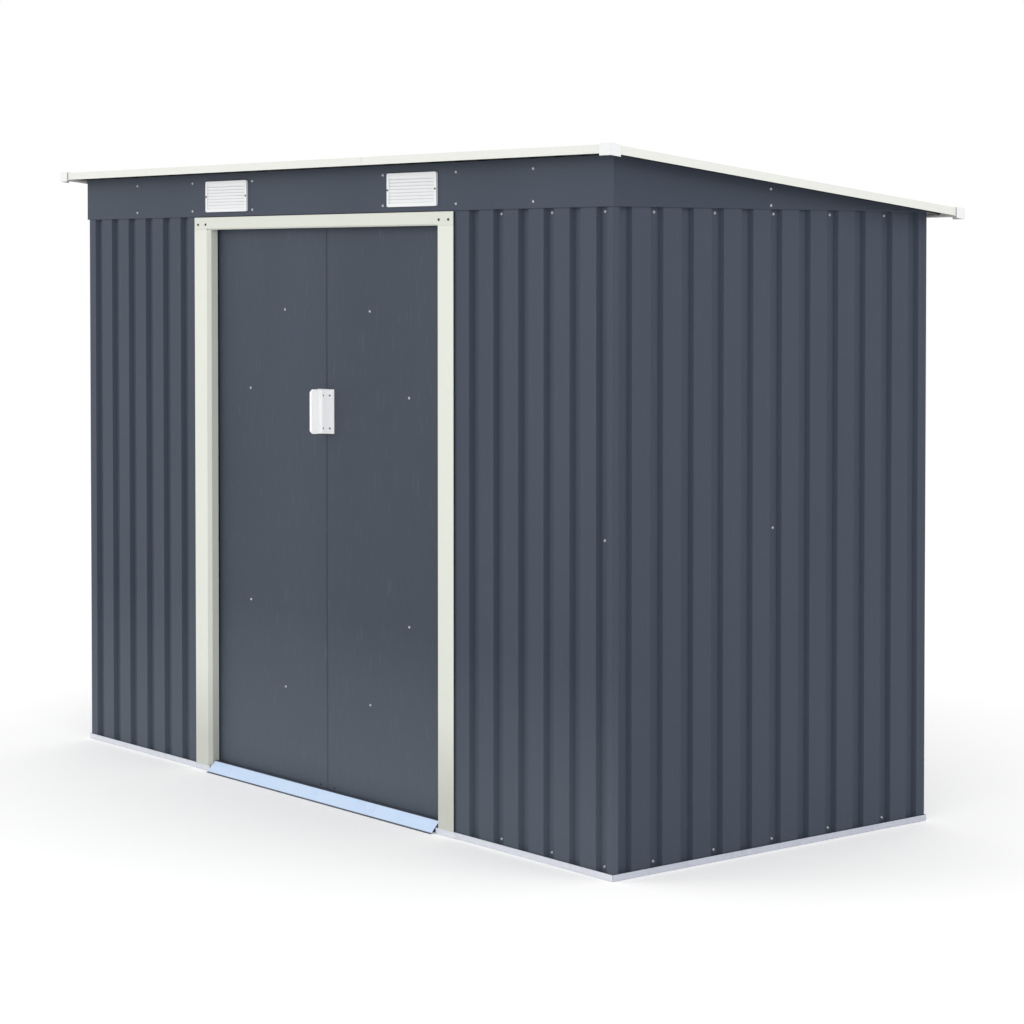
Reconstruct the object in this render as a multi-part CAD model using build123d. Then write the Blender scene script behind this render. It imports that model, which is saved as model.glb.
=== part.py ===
from build123d import *
from math import cos, radians, sqrt, tan
import os

# Pent-roof metal storage shed with two sliding doors, in millimetres.
# +X is to the right seen from the front, +Y to the back, +Z up.
# The origin is on the ground, in the middle of the roof's outline seen from above.

# Overall sizes
base_width = 2440        # outside of the base rails, left to right
base_depth = 1095        # outside of the base rails, front to back
fascia_bottom = 1595     # lower edge of the fascia, level all round
roof_slope = 6.3         # degrees, falling to the back
eaves_rise = 1.8         # roof sheets' underside above the fascia's lower edge, at the back
front_overhang = 57      # from the base rail to the outer face of the trim
rear_overhang = 67
side_overhang = 56

# Sheet, sections and folds
sheet = 1.0              # walls, roof, fascia, doors and trims
section = 1.2            # galvanised rails, tracks, posts and beams
frame_sheet = 1.2        # cream door frame
bend = 2.0               # outer radius of the folds in wide sheet
small_bend = 1.4         # outer radius of the folds in narrow sections
fit = 0.3                # gap between pieces that are pushed together
joint_gap = 1.2          # open joint between lengths of trim and at the base rails' corners
overcut = 1              # cuts run this far past the metal

# Corrugation of the wall sheets
wall_inset = 4           # base rail's outer face to the wall's outer face
groove_depth = 12
groove_mouth = 40
groove_floor = 28
front_pitch = 97.5
front_right_first = 46   # from the outside of the rail to the first groove's centre
front_left_first = 60
side_pitch = 99.7
side_first = 42.5
rear_pitch = 97.5
corner_return = 16       # front and rear sheets fold round the corner this far
fascia_lap = 11          # walls reach this far up behind the fascia

# Roof sheets
rib_height = 12
rib_foot = 40
rib_top = 28
rib_pitch = 97.5
panel_ribs = 6           # ribs on each inner roof sheet

# Base rails, posts and top rails
rail_lip = 15.5
rail_upstand = 40
rail_drop = 1            # side top rails stop this far below the fascia's lower edge
post_leg = 30
top_rail_height = 33
top_rail_flange = 25
beam_height = 30
beam_flange = 26
beam_from_front = 517    # roof beam's web, from the front of the base rail
brace_height = 36
brace_centre = 804
brace_depth = 20

# Fascia and roof trim
fascia_flange = 25
trim_face = 17
trim_flare = 2
trim_flare_height = 4
trim_flange = 46
front_trim_joint = 290   # joint of the two front pieces, from the middle
cap_wall = 2
cap_along_front = 41
cap_along_side = 31
cap_height = 29
cap_gap = 0.3
cap_corner = 3           # radius of the caps' outer corner

# Door frame
frame_half_width = 608   # middle of the doorway to the frame's outer edge
jamb_face = 64
jamb_lap = 23            # the wall sheet reaches this far behind the jamb
jamb_bevel = 9
jamb_bevel_depth = 10
jamb_flange = 14
frame_proud = 1.2        # front of the jambs beyond the base rail's outer face
header_height = 35
header_bevel = 4
header_upstand = 20
header_gap = 2           # below the fascia

# Doors
door_front = 36          # base rail's outer face to the door's front
door_depth = 14
door_lap = 34            # each door reaches this far behind its jamb
door_lip = 10
door_bend = 4            # outer radius of the folds beside the door's face
door_bottom = 20
door_drop = 7            # doors stop this far below the fascia's lower edge
meeting_gap = 2
running_gap = 5          # doors to everything they slide past

# Door runners
track_rise = 45          # top of the hanging track above the fascia's lower edge
track_web = 78
track_lip = 18
track_ledge = 12
hanger_length = 60
hanger_thickness = 11
hanger_head = 10
hanger_gap = 0.5
hanger_side_gap = 1.5
slider_from_edge = 60    # door's edge to the middle of its hangers and guides
floor_track_leg = 12
floor_track_rib = 9
floor_track_rib_width = 3
guide_length = 40
guide_thickness = 11
guide_inset = 2          # door's front to the guides' front
guide_gap = 0.5
guide_side_gap = 1.0

# Door stiffeners, two upright channels on each door
stiffener_width = 25
stiffener_depth = 12
stiffeners = [(200, 248, 239), (373, 475, 463)]   # from the middle, from the door's foot, from its top

# Door handles
handle_bottom = 1000
handle_height = 120
handle_width = 33
handle_edge = 6          # height of the scoop's outer edge above the door
handle_crease = 21       # height of the scoop where it meets the fin
handle_reach = 54
handle_fin = 4
handle_chamfer = 7
handle_round = 1.5       # radius of the fin's edges at its tip
handle_rim = 3
handle_recess = 1.5
handle_groove_at = 19    # from the fin's tip
handle_groove_width = 4
handle_groove_depth = 1

# Threshold ramp
ramp_half_width = 530
ramp_toe = 13
ramp_height = 30
ramp_crest = 14
ramp_lip = 4

# Vents
vent_width = 212
vent_height = 87
vent_centre_x = 437
vent_rise = 13           # vent's lower edge above the fascia's
vent_border = 9
vent_corner = 5
vent_proud = 5.5
vent_slats = 8
vent_slat_thickness = 1.6
vent_slat_lap = 1.15      # slat's breadth over the slats' spacing
vent_slat_tilt = 22       # degrees

# Places that follow from the sizes
front = (front_overhang - base_depth - rear_overhang) / 2
back = front + base_depth
side = base_width / 2
roof_front = front - front_overhang
roof_back = back + rear_overhang
roof_side = side + side_overhang
slope = tan(radians(roof_slope))
floor_line = wall_inset + groove_depth + sheet       # rail's outside to the inside of a groove floor
frame_line = floor_line + section                    # inside of the rails' upstands and webs
door_half = frame_half_width - jamb_face - jamb_bevel    # half of the clear doorway
frame_face = front - frame_proud
door_y = front + door_front
door_top = fascia_bottom - door_drop
past_roof = 2 * fascia_bottom                        # above everything, for cuts


def roof_under(y):
    """Height of the underside of the roof sheets' flats at y."""
    return fascia_bottom + eaves_rise + slope * (back - y)


def roof_over(y):
    """Height of the top of the roof sheets' ribs at y."""
    return roof_under(y) + rib_height + sheet


def bent(points, thickness, radius, plane, length, direction=None):
    """A folded sheet: its outer line runs through the points, and the metal lies on their left.

    The radius is one for all folds or a list with one for each fold, and 0 is a crisp fold.
    """
    outline = Polyline(*points) if radius == 0 else FilletPolyline(*points, radius=radius)
    face = make_face(offset(outline, amount=thickness, side=Side.LEFT, kind=Kind.INTERSECTION))
    along = plane.z_dir if direction is None else direction
    return extrude(plane * face, amount=length, dir=along)


def groove(centre, mouth, floor, depth):
    """The four folds of one groove, from its first edge to its last."""
    return [
        (centre - mouth / 2, 0),
        (centre - floor / 2, depth),
        (centre + floor / 2, depth),
        (centre + mouth / 2, 0),
    ]


def block(x, y, z):
    """A box between two limits along each axis."""
    size = (x[1] - x[0], y[1] - y[0], z[1] - z[0])
    return Pos(x[0], y[0], z[0]) * Box(*size, align=(Align.MIN, Align.MIN, Align.MIN))


def under_roof(x, y, low, high):
    """A bar that follows the roof's fall: low and high are heights above the sheets' underside."""
    corners = [
        (y[0], roof_under(y[0]) + low),
        (y[1], roof_under(y[1]) + low),
        (y[1], roof_under(y[1]) + high),
        (y[0], roof_under(y[0]) + high),
    ]
    face = Plane.YZ * make_face(Polyline(*corners, close=True))
    return Pos(x[0], 0, 0) * extrude(face, amount=x[1] - x[0], dir=(1, 0, 0))


def mitred(half_length, out, depth, height):
    """A block with 45 degree ends, its outer edge on the X axis, for cutting mitres."""
    corners = [
        (-half_length - out, -out),
        (half_length + out, -out),
        (half_length - depth, depth),
        (-half_length + depth, depth),
    ]
    return extrude(make_face(Polyline(*corners, close=True)), amount=height, dir=(0, 0, 1))


def left_of(shape):
    """The same piece on the other side of the doorway."""
    return mirror(shape, about=Plane.YZ)


def save(name, *solids):
    export_step(Compound(children=list(solids)) if len(solids) > 1 else solids[0], f"parts/{name}.step")


across = Plane(origin=(0, 0, 0), x_dir=(0, 1, 0), z_dir=(1, 0, 0))      # sections drawn as (y, z)
lengthwise = Plane(origin=(0, 0, 0), x_dir=(1, 0, 0), z_dir=(0, -1, 0))  # sections drawn as (x, z)
fall = (0, cos(radians(roof_slope)), -tan(radians(roof_slope)) * cos(radians(roof_slope)))
roof_length = (roof_back - roof_front - 2 * sheet - 2 * fit) / cos(radians(roof_slope))
above_roof = under_roof((-roof_side, roof_side), (roof_front, roof_back), 0, past_roof)

os.makedirs("parts", exist_ok=True)


# Base rails: U-channels with mitred corners that the wall sheets stand in
def base_rail(half_length):
    section_line = [(0, rail_lip), (0, 0), (frame_line, 0), (frame_line, rail_upstand)]
    rail = bent(section_line, section, small_bend, across, 2 * half_length)
    return Pos(-half_length, 0, 0) * rail & mitred(half_length - joint_gap / 2, 0, frame_line, rail_upstand)


rail_front = Pos(0, front, 0) * base_rail(side)
rail_rear = Pos(0, back, 0) * Rot(0, 0, 180) * base_rail(side)
rail_right = Pos(side, (front + back) / 2, 0) * Rot(0, 0, 90) * base_rail(base_depth / 2)
notch_half = door_half + jamb_flange + fit
notch_front = front + small_bend + section
lip_notch_half = door_half + jamb_bevel + frame_sheet + fit
rail_front -= block((-notch_half, notch_half), (notch_front, front + frame_line), (section, rail_upstand))
rail_front -= block((-lip_notch_half, lip_notch_half), (front, notch_front), (section, rail_upstand))
save("base_rail_front", rail_front)
save("base_rail_rear", rail_rear)
save("base_rail_right", rail_right)
save("base_rail_left", left_of(rail_right))

# Threshold ramp: one folded sheet over the front rail, hollow below
ramp_back = door_y - running_gap - sheet
ramp_line = [
    (front - ramp_toe - ramp_lip, 0),
    (front - ramp_toe, 0),
    (front + ramp_crest, ramp_height - sheet),
    (ramp_back, ramp_height - sheet),
    (ramp_back, section),
]
ramp = bent(ramp_line, sheet, small_bend, across, 2 * ramp_half_width)
save("threshold_ramp", Pos(-ramp_half_width, 0, 0) * ramp)

# Floor track: a base with a low rib and a back leg, which the doors' lower guides run between
track_half = side - frame_line - section - post_leg - fit
guide_y = (door_y + guide_inset, door_y + guide_inset + guide_thickness)
rib_at = guide_y[0] - guide_side_gap - section - floor_track_rib_width
floor_track_back = guide_y[1] + guide_side_gap + section
floor_track_line = [
    (front + frame_line, 0),
    (rib_at, 0),
    (rib_at, floor_track_rib),
    (rib_at + floor_track_rib_width, floor_track_rib),
    (rib_at + floor_track_rib_width, 0),
    (floor_track_back, 0),
    (floor_track_back, floor_track_leg),
]
floor_track = bent(floor_track_line, section, small_bend, across, 2 * track_half)
save("door_track_bottom", Pos(-track_half, 0, 0) * floor_track)

# Hanging track: its web closes the front wall's top, its ledge carries the doors
top_track_half = side - floor_line
track_top = fascia_bottom + track_rise
ledge_front = door_y + hanger_thickness + 2 * hanger_side_gap
track_back = ledge_front + track_ledge
top_track_line = [
    (ledge_front, track_top - track_lip),
    (track_back, track_top - track_lip),
    (track_back, track_top),
    (front + floor_line, track_top),
    (front + floor_line, track_top - track_web),
]
top_track = bent(top_track_line, section, small_bend, across, 2 * top_track_half)
save("door_track_top", Pos(-top_track_half, 0, 0) * top_track)

# Corner posts: angles inside the base rails' upstands
post_outer = side - frame_line
wall_top = fascia_bottom - rail_drop
post_top = wall_top - section - fit


def corner_post(y_outer, inward):
    wing_y = sorted((y_outer, y_outer + inward * post_leg))
    web_y = sorted((y_outer, y_outer + inward * section))
    leg_side = block((post_outer - section, post_outer), wing_y, (section, post_top))
    leg_end = block((post_outer - post_leg, post_outer), web_y, (section, post_top))
    return leg_side + leg_end


post_front = corner_post(front + frame_line, 1)
post_rear = corner_post(back - frame_line, -1)
save("corner_posts", post_front, post_rear, left_of(post_front), left_of(post_rear))

# Top rails: angles along the sides, and a rail under the roof along the back
side_rail_line = [
    (side - floor_line, wall_top - top_rail_height),
    (side - floor_line, wall_top),
    (side - floor_line - top_rail_flange, wall_top),
]
side_rail_length = base_depth - 2 * frame_line
side_top_rail = bent(side_rail_line, section, small_bend, lengthwise, side_rail_length, (0, 1, 0))
side_top_rail = Pos(0, front + frame_line, 0) * side_top_rail
save("top_rail_right", side_top_rail)
save("top_rail_left", left_of(side_top_rail))
rear_web = back - floor_line
rear_rail_line = [
    (rear_web, wall_top - top_rail_height),
    (rear_web, roof_under(rear_web)),
    (rear_web - top_rail_flange, roof_under(rear_web - top_rail_flange)),
]
rear_top_rail = bent(rear_rail_line, section, small_bend, across, 2 * top_track_half)
save("top_rail_rear", Pos(-top_track_half, 0, 0) * rear_top_rail)

# Middle braces: channels across the grooves, half way up each wall
brace_low = brace_centre - brace_height / 2
brace_high = brace_centre + brace_height / 2


def brace(outer, inner, length, plane, direction):
    line = [(inner, brace_low), (outer, brace_low), (outer, brace_high), (inner, brace_high)]
    if inner > outer:
        line.reverse()
    return bent(line, section, small_bend, plane, length, direction)


post_inside = frame_line + post_leg + fit
side_brace_length = base_depth - 2 * post_inside
side_brace = Pos(0, front + post_inside, 0) * brace(
    side - floor_line, side - floor_line - brace_depth, side_brace_length, lengthwise, (0, 1, 0)
)
rear_brace_half = side - post_inside
rear_brace = Pos(-rear_brace_half, 0, 0) * brace(
    back - floor_line, back - floor_line - brace_depth, 2 * rear_brace_half, across, (1, 0, 0)
)
front_brace_length = side - post_inside - notch_half
front_brace = Pos(notch_half, 0, 0) * brace(
    front + floor_line, door_y - running_gap, front_brace_length, across, (1, 0, 0)
)
save("mid_braces", side_brace, left_of(side_brace), rear_brace, front_brace, left_of(front_brace))

# Wall sheets
wall_face = side - wall_inset
wall_bottom = section + fit
wall_reach = fascia_bottom + fascia_lap
roof_clearance = sheet + fit
wall_limit = under_roof((-side, side), (front, back), -roof_clearance, past_roof)


def grooves_in(room, pitch):
    """How many grooves fit when the first one's centre is this far from the end of the flat."""
    return int((room - groove_mouth / 2) / pitch) + 1


def upright_sheet(points, radius):
    """A wall sheet from its plan line, up to behind the fascia and clear of the roof."""
    height = wall_reach - wall_bottom
    return Pos(0, 0, wall_bottom) * bent(points, sheet, radius, Plane.XY, height, (0, 0, 1)) - wall_limit


def front_sheet(first_groove):
    """The sheet from the right jamb to the right corner, folded round the corner."""
    y_face = front + wall_inset
    inner_edge = frame_half_width - jamb_lap
    count = grooves_in(side - first_groove - inner_edge, front_pitch)
    line = [(inner_edge, y_face)]
    for n in reversed(range(count)):
        folds = groove(side - first_groove - front_pitch * n, groove_mouth, groove_floor, groove_depth)
        line += [(x, y_face + d) for x, d in folds]
    line += [(wall_face, y_face), (wall_face, y_face + corner_return)]
    return upright_sheet(line, [0] * (4 * count) + [bend])


save("front_wall_right", front_sheet(front_right_first))
save("front_wall_left", left_of(front_sheet(front_left_first)))

side_start = front + wall_inset + corner_return + fit
side_end = back - wall_inset - corner_return - fit
side_line = [(wall_face, side_start)]
for n in range(grooves_in(side_end - front - side_first, side_pitch)):
    centre = front + side_first + side_pitch * n
    side_line += [(wall_face - d, y) for y, d in groove(centre, groove_mouth, groove_floor, groove_depth)]
side_line.append((wall_face, side_end))
side_wall = upright_sheet(side_line, 0)
save("side_wall_right", side_wall)
save("side_wall_left", left_of(side_wall))

rear_face = back - wall_inset
rear_grooves = grooves_in(wall_face - corner_return - rear_pitch / 2, rear_pitch)
rear_line = [(wall_face, rear_face - corner_return), (wall_face, rear_face)]
for n in reversed(range(rear_grooves)):
    folds = groove(rear_pitch * (n + 0.5), groove_mouth, groove_floor, groove_depth)
    rear_line += [(x, rear_face - d) for x, d in reversed(folds)]
rear_line.append((fit / 2, rear_face))
rear_wall = upright_sheet(rear_line, [bend] + [0] * (4 * rear_grooves))
save("rear_wall_right", rear_wall)
save("rear_wall_left", left_of(rear_wall))

# Front fascia: hemmed below, with a flange that follows the roof above
fascia_line = [
    (front + fascia_flange, roof_under(front + fascia_flange)),
    (front, roof_under(front)),
    (front, fascia_bottom),
    (front + wall_inset, fascia_bottom),
    (front + wall_inset, wall_reach),
]
fascia_front = Pos(-side, 0, 0) * bent(fascia_line, sheet, small_bend, across, base_width)
hem_room = block((wall_face, side), (front + sheet, front + fascia_flange + bend), (fascia_bottom, past_roof))
fascia_front -= hem_room
fascia_front -= left_of(hem_room)
vent_bottom = fascia_bottom + vent_rise
vent_window = block(
    (vent_centre_x - vent_width / 2 + vent_border, vent_centre_x + vent_width / 2 - vent_border),
    (front - sheet, front + 2 * sheet),
    (vent_bottom + vent_border, vent_bottom + vent_height - vent_border),
)
fascia_front -= vent_window
fascia_front -= left_of(vent_window)
save("fascia_front", fascia_front)

# Side fascias: tapering to the back
side_fascia_line = [
    (wall_face, wall_reach),
    (wall_face, fascia_bottom),
    (side, fascia_bottom),
    (side, roof_under(front)),
]
side_fascia = bent(side_fascia_line, sheet, small_bend, lengthwise, base_depth - sheet, (0, 1, 0))
side_fascia = Pos(0, front + sheet, 0) * side_fascia - above_roof
flange_start = front + fascia_flange + bend
flange_end = rear_web - top_rail_flange - fit
side_fascia += under_roof((side - fascia_flange, side), (flange_start, flange_end), -sheet, 0)
save("fascia_right", side_fascia)
save("fascia_left", left_of(side_fascia))

# Front beam behind the fascia, and the roof beam across the middle
front_beam_line = [
    (front + sheet + beam_flange, roof_under(front + sheet + beam_flange) - roof_clearance),
    (front + sheet, roof_under(front + sheet) - roof_clearance),
    (front + sheet, roof_under(front + sheet) - roof_clearance - beam_height),
    (front + sheet + beam_flange, roof_under(front + sheet) - roof_clearance - beam_height),
]
front_beam_half = wall_face - fit
front_beam = bent(front_beam_line, section, small_bend, across, 2 * front_beam_half)
save("front_beam", Pos(-front_beam_half, 0, 0) * front_beam)
beam_y = front + beam_from_front
roof_beam_line = [
    (beam_y + beam_flange, roof_under(beam_y + beam_flange) - roof_clearance),
    (beam_y, roof_under(beam_y) - roof_clearance),
    (beam_y, roof_under(beam_y) - roof_clearance - beam_height),
    (beam_y + beam_flange, roof_under(beam_y) - roof_clearance - beam_height),
]
roof_beam_half = side - sheet
roof_beam = bent(roof_beam_line, section, small_bend, across, 2 * roof_beam_half)
save("roof_beam", Pos(-roof_beam_half, 0, 0) * roof_beam)

# Door frame: a header that stands on two folded jambs, flush with them
header_top = fascia_bottom - header_gap
header_bottom = header_top - header_height
jamb_line = [
    (door_half + jamb_flange, door_y - running_gap),
    (door_half, door_y - running_gap),
    (door_half, frame_face + jamb_bevel_depth),
    (door_half + jamb_bevel, frame_face),
    (frame_half_width, frame_face),
]
jamb_height = header_bottom - fit - section
jamb = Pos(0, 0, section) * bent(jamb_line, frame_sheet, small_bend, Plane.XY, jamb_height, (0, 0, 1))
save("door_jamb_right", jamb)
save("door_jamb_left", left_of(jamb))
header_line = [
    (frame_face, header_top),
    (frame_face, header_bottom + header_bevel),
    (frame_face + header_bevel, header_bottom),
    (front + floor_line, header_bottom),
    (front + floor_line, header_bottom + header_upstand),
]
header_half = frame_half_width - jamb_lap - fit
header = Pos(-header_half, 0, 0) * bent(header_line, frame_sheet, small_bend, across, 2 * header_half)
plate_y = (frame_face, frame_face + frame_sheet)
plate_z = (header_bottom + 2 * header_bevel, header_top)
header += block((-frame_half_width, frame_half_width), plate_y, plate_z)
jamb_cover = block((door_half + jamb_bevel, frame_half_width), plate_y, (header_bottom, header_top))
header += jamb_cover + left_of(jamb_cover)
save("door_header", header)

# Vents: a bordered frame with sloping slats
def vent():
    inside = (vent_width - 2 * vent_border, vent_height - 2 * vent_border)
    frame = Rectangle(vent_width, vent_height)
    frame = fillet(frame.vertices(), vent_corner) - Rectangle(*inside)
    grille = extrude(frame, amount=vent_proud)
    pitch = inside[1] / vent_slats
    slat = Rot(vent_slat_tilt, 0, 0) * Box(inside[0], pitch * vent_slat_lap, vent_slat_thickness)
    for n in range(vent_slats):
        grille += Pos(0, pitch * (n + 0.5) - inside[1] / 2, vent_proud / 2) * slat
    face = Plane((vent_centre_x, front, vent_bottom + vent_height / 2), x_dir=(1, 0, 0), z_dir=(0, -1, 0))
    return face * grille


vent_right = vent()
save("vent_right", vent_right)
save("vent_left", left_of(vent_right))

# Roof sheets: ribs run from front to back
def roof_sheet(first_rib, last_rib, start, end):
    """Sheet with its underside through z = 0 at the front edge, then laid on the fall."""
    line = [(start, 0)]
    for n in range(first_rib, last_rib):
        line += groove(rib_pitch * (n + 0.5), rib_foot, rib_top, rib_height)
    line.append((end, 0))
    y_start = roof_front + sheet + fit
    sheet_solid = bent(line, sheet, 0, lengthwise, roof_length, fall)
    return Pos(0, y_start, roof_under(y_start)) * sheet_solid


roof_edge = roof_side - sheet - fit
ribs_each_side = int((roof_edge - rib_foot / 2) / rib_pitch + 0.5)
seam = panel_ribs * rib_pitch
inner_sheet = roof_sheet(0, panel_ribs, fit / 2, seam - fit / 2)
outer_sheet = roof_sheet(panel_ribs, ribs_each_side, seam + fit / 2, roof_edge)
save("roof_sheet_inner_right", inner_sheet)
save("roof_sheet_inner_left", left_of(inner_sheet))
save("roof_sheet_outer_right", outer_sheet)
save("roof_sheet_outer_left", left_of(outer_sheet))

# Roof trims: flange on the ribs, upright face, and a flared lower edge
def trim_section(edge, inward, top_at):
    """Outer line of the trim, from its flange to its lip, where top_at gives its upper face's height."""
    return [
        (edge + inward * trim_flange, top_at(edge + inward * trim_flange)),
        (edge, top_at(edge)),
        (edge, top_at(edge) - trim_face),
        (edge - inward * trim_flare, top_at(edge) - trim_face - trim_flare_height),
    ]


def trim_top(y):
    return roof_over(y) + sheet + fit


trim_out = trim_flare + sheet
front_trim = Pos(-roof_side - trim_out, 0, 0) * bent(
    trim_section(roof_front, 1, trim_top), sheet, small_bend, across, 2 * (roof_side + trim_out)
)
front_trim &= Pos(0, roof_front, 0) * mitred(roof_side, trim_out, trim_flange, past_roof)
joint_width = (front_trim_joint - joint_gap / 2, front_trim_joint + joint_gap / 2)
front_joint = block(joint_width, (roof_front - trim_flange, front), (0, past_roof))
save("roof_trim_front", *(front_trim - front_joint).solids())

rear_trim_line = trim_section(roof_back, -1, trim_top)
rear_trim_line.reverse()
rear_trim = Pos(-roof_side - trim_out, 0, 0) * bent(
    rear_trim_line, sheet, small_bend, across, 2 * (roof_side + trim_out)
)
rear_trim &= Pos(0, roof_back, 0) * Rot(0, 0, 180) * mitred(roof_side, trim_out, trim_flange, past_roof)
rear_joint = block((-joint_gap / 2, joint_gap / 2), (back, roof_back + trim_flange), (0, past_roof))
save("roof_trim_rear", *(rear_trim - rear_joint).solids())

side_trim_line = trim_section(roof_side, -1, lambda x: 0)
side_trim_line.reverse()
trim_run = (roof_back - roof_front + 2 * trim_out) / cos(radians(roof_slope))
side_trim = bent(side_trim_line, sheet, small_bend, lengthwise, trim_run, fall)
side_trim = Pos(0, roof_front - trim_out, trim_top(roof_front - trim_out)) * side_trim
side_mitre = mitred((roof_back - roof_front) / 2, trim_out, trim_flange, past_roof)
side_trim &= Pos(roof_side, (roof_front + roof_back) / 2, 0) * Rot(0, 0, 90) * side_mitre
save("roof_trim_right", side_trim)
save("roof_trim_left", left_of(side_trim))


# Corner caps: moulded covers over the trims' mitres
def corner_cap(y_edge, inward):
    room = trim_flare + cap_gap
    outer_x = (roof_side - cap_along_front + room + cap_wall, roof_side + room + cap_wall)
    inner_x = (outer_x[0] - overcut, roof_side + room)
    y_out = y_edge - inward * (room + cap_wall)
    outer_y = sorted((y_out, y_out + inward * cap_along_side))
    inner_y = sorted((y_edge - inward * room, y_out + inward * (cap_along_side + overcut)))
    top = rib_height + 2 * sheet + 2 * fit
    shell = under_roof(outer_x, outer_y, top + cap_wall - cap_height, top + cap_wall)
    corner = shell.vertices().sort_by_distance((outer_x[1], y_out, past_roof))[0]
    shell = fillet([edge for edge in shell.edges() if edge.distance_to(corner) < fit], cap_corner)
    return shell - under_roof(inner_x, inner_y, top - cap_height, top)


cap_front = corner_cap(roof_front, 1)
cap_rear = corner_cap(roof_back, -1)
save("roof_corner_caps", cap_front, cap_rear, left_of(cap_front), left_of(cap_rear))


# Doors: sheet pans that hang from the upper track
door_inner = meeting_gap / 2
door_outer = door_half + door_lap
pan_line = [
    (door_outer - door_lip, door_y + door_depth),
    (door_outer, door_y + door_depth),
    (door_outer, door_y),
    (door_inner, door_y),
    (door_inner, door_y + door_depth),
    (door_inner + door_lip, door_y + door_depth),
]
pan_line.reverse()
pan_bends = [small_bend, door_bend, door_bend, small_bend]
pan = Pos(0, 0, door_bottom) * bent(pan_line, sheet, pan_bends, Plane.XY, door_top - door_bottom, (0, 0, 1))
for z in (door_bottom, door_top - sheet):
    end = block(
        (door_inner + sheet / 2, door_outer - sheet / 2),
        (door_y + sheet / 2, door_y + door_depth - sheet / 2),
        (z, z + sheet),
    )
    pan += fillet(end.edges().filter_by(Axis.Z).sort_by(Axis.Y)[:2], door_bend - sheet / 2)
save("door_right", pan)
save("door_left", left_of(pan))

stiffener_solids = []
for x, from_foot, from_top in stiffeners:
    channel_line = [
        (x - stiffener_width / 2, door_y + sheet + stiffener_depth),
        (x - stiffener_width / 2, door_y + sheet),
        (x + stiffener_width / 2, door_y + sheet),
        (x + stiffener_width / 2, door_y + sheet + stiffener_depth),
    ]
    channel_length = door_top - from_top - door_bottom - from_foot
    channel = bent(channel_line, section, small_bend, Plane.XY, channel_length, (0, 0, 1))
    stiffener_solids.append(Pos(0, 0, door_bottom + from_foot) * channel)
save("door_stiffeners_right", *stiffener_solids)
save("door_stiffeners_left", *[left_of(solid) for solid in stiffener_solids])

# Door sliders: hangers that hook over the track's ledge, and guides that run in the floor track
ledge_top = track_top - track_lip + section
hanger_y = (door_y + hanger_side_gap, ledge_front - hanger_side_gap)
head_y = (hanger_y[0], track_back - section - hanger_side_gap)
head_z = (ledge_top + hanger_gap, ledge_top + hanger_gap + hanger_head)
slider_solids = []
for x in (door_inner + slider_from_edge, door_outer - slider_from_edge):
    hanger_x = (x - hanger_length / 2, x + hanger_length / 2)
    guide_x = (x - guide_length / 2, x + guide_length / 2)
    slider_solids.append(block(hanger_x, hanger_y, (door_top, head_z[1])) + block(hanger_x, head_y, head_z))
    slider_solids.append(block(guide_x, guide_y, (section + guide_gap, door_bottom)))
save("door_sliders_right", *slider_solids)
save("door_sliders_left", *[left_of(solid) for solid in slider_solids])

# Handles: a fin to pull on at the meeting edge, and a sunk scoop that slopes from it to the door
handle_x = (door_inner + fit, door_inner + fit + handle_width)
handle_z = (handle_bottom, handle_bottom + handle_height)
fin_face = handle_x[0] + handle_fin
scoop_edge = handle_x[1] - handle_rim
scoop_fall = (handle_crease - handle_edge) / (handle_x[1] - fin_face)
fin_tip = door_y - handle_reach
heel = (2 - sqrt(2)) * door_bend - 2 * fit    # fills the hollow beside the fold of the door's edge


def scoop(x, below):
    """A point of the scoop's slope in plan, this far below its rim."""
    return (x, door_y - handle_edge - scoop_fall * (handle_x[1] - x) + below)


body_plan = [
    (handle_x[0] + heel, door_y),
    (handle_x[0], door_y + heel),
    (handle_x[0], fin_tip),
    (fin_face, fin_tip),
    scoop(fin_face, 0),
    scoop(handle_x[1], 0),
    (handle_x[1], door_y),
]
sunk_plan = [
    (fin_face, fin_tip),
    scoop(fin_face, handle_recess),
    scoop(scoop_edge, handle_recess),
    (scoop_edge, fin_tip),
]
body = extrude(make_face(Polyline(*body_plan, close=True)), amount=handle_height, dir=(0, 0, 1))
sunk_height = handle_height - 2 * handle_rim
sunk = extrude(make_face(Polyline(*sunk_plan, close=True)), amount=sunk_height, dir=(0, 0, 1))
handle = Pos(0, 0, handle_z[0]) * body - Pos(0, 0, handle_z[0] + handle_rim) * sunk
fin_corners = [edge for edge in handle.edges().filter_by(Axis.X) if abs(edge.center().Y - fin_tip) < fit]
handle = chamfer(fin_corners, handle_chamfer)
tip_edges = [edge for edge in handle.edges() if edge.center().Y < fin_tip + handle_chamfer - fit]
tip_edges = [edge for edge in tip_edges if edge.bounding_box().size.X < fit]
handle = fillet(tip_edges, handle_round)
handle -= block(
    (fin_face - handle_groove_depth, fin_face + overcut),
    (fin_tip + handle_groove_at, fin_tip + handle_groove_at + handle_groove_width),
    handle_z,
)
save("door_handle_right", handle)
save("door_handle_left", left_of(handle))
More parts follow.
